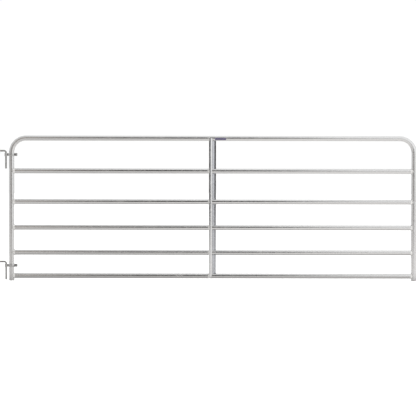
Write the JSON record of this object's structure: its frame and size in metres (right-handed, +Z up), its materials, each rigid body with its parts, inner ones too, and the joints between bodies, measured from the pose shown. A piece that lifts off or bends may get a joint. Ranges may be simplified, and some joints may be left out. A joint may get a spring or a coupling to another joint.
{
  "type": "livestock panel gate",
  "caption": "Livestock field gate: bent-tube leaf with straight rails and a Z-section centre brace, hung by clamp-on strap hinges on L-shaped post bolts; it swings, and its straps slide.",
  "frame": {"origin": "middle of the whole object's length, in the leaf's middle plane, at the level of the two tube feet", "axes": "+X along the gate away from the post, +Y towards the rear, +Z up"},
  "size_m": [3.6568, 0.057, 1.27],
  "materials": {
    "galvanised_tube": "bright zinc coat, softly reflective",
    "galvanised_sheet": "zinc-coated folded strip",
    "zinc_hardware": "duller zinc plate on forged and pressed steel",
    "plain_label": "plain indigo film with no print"
  },
  "bodies": {
    "upper_post_bolt": {"upper_post_bolt": "zinc_hardware"},
    "upper_hinge": {"upper_hinge_strap": "zinc_hardware", "upper_strap_bolt": "zinc_hardware", "upper_strap_washer": "zinc_hardware", "upper_strap_lock_washer": "zinc_hardware", "upper_strap_nut": "zinc_hardware"},
    "gate_leaf": {"frame_tube": "galvanised_tube", "middle_rail_1": "galvanised_tube", "middle_rail_2": "galvanised_tube", "middle_rail_3": "galvanised_tube", "middle_rail_4": "galvanised_tube", "bottom_rail": "galvanised_tube", "centre_brace": "galvanised_sheet", "panel_label": "plain_label"},
    "lower_hinge": {"lower_hinge_strap": "zinc_hardware", "lower_strap_bolt": "zinc_hardware", "lower_strap_washer": "zinc_hardware", "lower_strap_lock_washer": "zinc_hardware", "lower_strap_nut": "zinc_hardware"},
    "lower_post_bolt": {"lower_post_bolt": "zinc_hardware"}
  },
  "joints": [
    {"name": "gate_swing", "type": "hinge", "parent": "upper_post_bolt", "child": "upper_hinge", "pos_m": [-1.77139, 0, 1.104], "axis": [0, 0, 1], "range_deg": [-90, 90]},
    {"name": "upper_strap_height", "type": "slide", "parent": "upper_hinge", "child": "gate_leaf", "axis": [0, 0, 1], "range_m": [-0.004, 0.095]},
    {"name": "lower_strap_height", "type": "slide", "parent": "gate_leaf", "child": "lower_hinge", "axis": [0, 0, 1], "range_m": [-0.045, 0.068]},
    {"name": "lower_pin_turn", "type": "hinge", "parent": "lower_hinge", "child": "lower_post_bolt", "pos_m": [-1.77139, 0, 0.132], "axis": [0, 0, 1], "range_deg": [-90, 90]}
  ],
  "couplings": [
    {"joint": "lower_pin_turn", "follows": "gate_swing", "ratio": -1}
  ]
}
